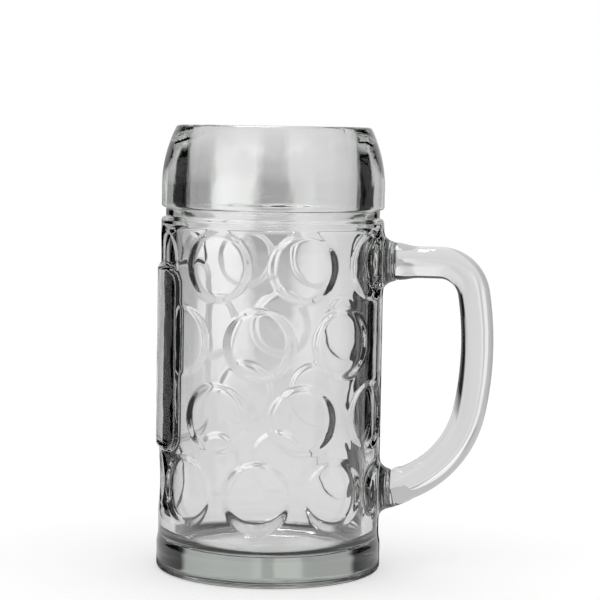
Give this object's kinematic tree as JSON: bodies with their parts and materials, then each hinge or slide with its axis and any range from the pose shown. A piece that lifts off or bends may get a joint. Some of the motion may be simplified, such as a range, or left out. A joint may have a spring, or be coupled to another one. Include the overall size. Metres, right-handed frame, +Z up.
{
  "type": "dimpled glass beer mug",
  "caption": "Clear glass beer mug with a smooth rim band, rows of round dimples, a plain raised panel and a D-shaped glass handle.",
  "frame": {"origin": "centre of the standing ring under the mug, on the axis of the bore", "axes": "+Z up along the bore, +X from the axis towards the handle, +Y to the left of someone who holds the handle and looks along it at the mug's wall"},
  "size_m": [0.1563, 0.1046, 0.2055],
  "materials": {
    "body_glass": "polished",
    "handle_glass": "polished"
  },
  "bodies": {
    "root": {"mug_body": "body_glass", "handle": "handle_glass"}
  },
  "joints": []
}
